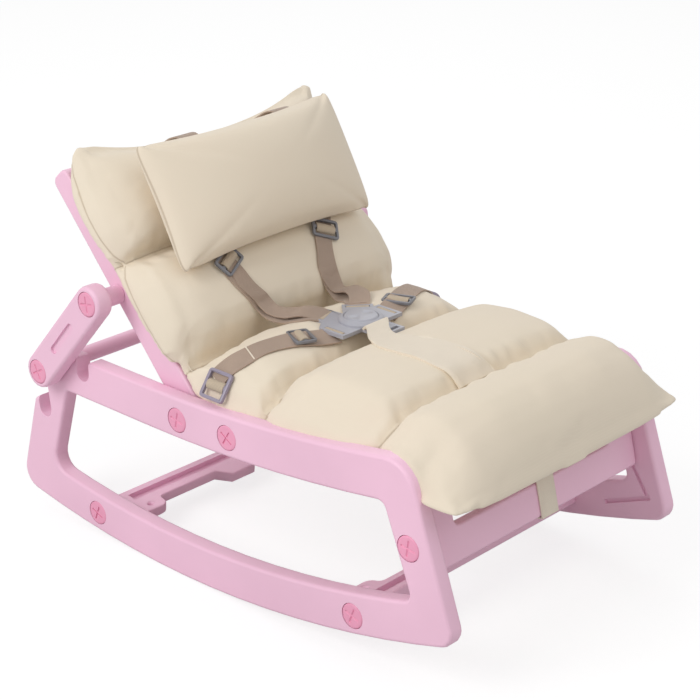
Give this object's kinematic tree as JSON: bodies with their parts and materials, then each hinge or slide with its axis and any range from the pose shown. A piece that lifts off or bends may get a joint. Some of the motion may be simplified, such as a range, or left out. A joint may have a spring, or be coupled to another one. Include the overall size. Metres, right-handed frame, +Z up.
{
  "type": "kids rocking chair",
  "caption": "Reclining rocking chair for small children: moulded side frames on curved rockers, notched prop behind the back, padded mattress, head pillow and harness.",
  "frame": {"origin": "middle of the outer box at floor level", "axes": "+X to the sitter's left, +Y from the foot end to the head end, +Z up"},
  "size_m": [0.4052, 0.6256, 0.4327],
  "materials": {
    "frame_plastic": "satin moulded plastic, light pink",
    "screw_caps": "satin moulded plastic, stronger pink",
    "cushion_fabric": "soft matte cloth, cream",
    "webbing": "woven webbing, taupe",
    "harness_plastic": "satin plastic, cool grey"
  },
  "bodies": {
    "base": {"side_frame_right": "frame_plastic", "side_frame_left": "frame_plastic", "panel_screw_right": "screw_caps", "panel_screw_left": "screw_caps", "front_screw_right": "screw_caps", "front_screw_left": "screw_caps", "pivot_screw_right": "screw_caps", "pivot_screw_left": "screw_caps", "seat_screw_right": "screw_caps", "seat_screw_left": "screw_caps", "rear_screw_right": "screw_caps", "rear_screw_left": "screw_caps", "rear_crossbar": "frame_plastic", "front_crossbar": "frame_plastic", "seat_crossbar": "frame_plastic", "front_panel": "frame_plastic", "foot_loop": "cushion_fabric", "seat_pad": "cushion_fabric", "buckle": "harness_plastic", "crotch_strap": "cushion_fabric", "lap_strap_right": "webbing", "lap_strap_left": "webbing", "lap_slider_right": "harness_plastic", "lap_slider_left": "harness_plastic", "side_clip_right": "harness_plastic", "side_clip_left": "harness_plastic", "shoulder_strap_end_right": "webbing", "shoulder_strap_end_left": "webbing"},
    "backrest": {"back_post_right": "frame_plastic", "back_post_left": "frame_plastic", "spacer_right": "frame_plastic", "spacer_left": "frame_plastic", "link_screw_right": "screw_caps", "link_screw_left": "screw_caps", "back_rail_lower": "frame_plastic", "back_rail_middle": "frame_plastic", "back_rail_upper": "frame_plastic", "back_pad": "cushion_fabric", "head_pillow": "cushion_fabric", "shoulder_strap_right": "webbing", "shoulder_strap_left": "webbing", "shoulder_slider_right": "harness_plastic", "shoulder_slider_left": "harness_plastic", "pillow_strap_right": "webbing", "pillow_strap_left": "webbing"},
    "prop": {"prop_link_right": "frame_plastic", "prop_link_left": "frame_plastic", "bar_screw_right": "screw_caps", "bar_screw_left": "screw_caps", "prop_bar": "frame_plastic"},
    "button": {"buckle_button": "harness_plastic"}
  },
  "joints": [
    {"name": "backrest_recline", "type": "hinge", "parent": "base", "child": "backrest", "pos_m": [0, 0.05522, 0.17793], "axis": [1, 0, 0], "range_deg": [0, 14]},
    {"name": "prop_swing", "type": "hinge", "parent": "backrest", "child": "prop", "pos_m": [0, 0.16112, 0.28063], "axis": [1, 0, 0], "range_deg": [0, 88]},
    {"name": "buckle_press", "type": "slide", "parent": "base", "child": "button", "axis": [0, 0, -1], "range_m": [0, 0.002], "stiffness_N_per_m": 400, "springref_m": -0.001}
  ]
}
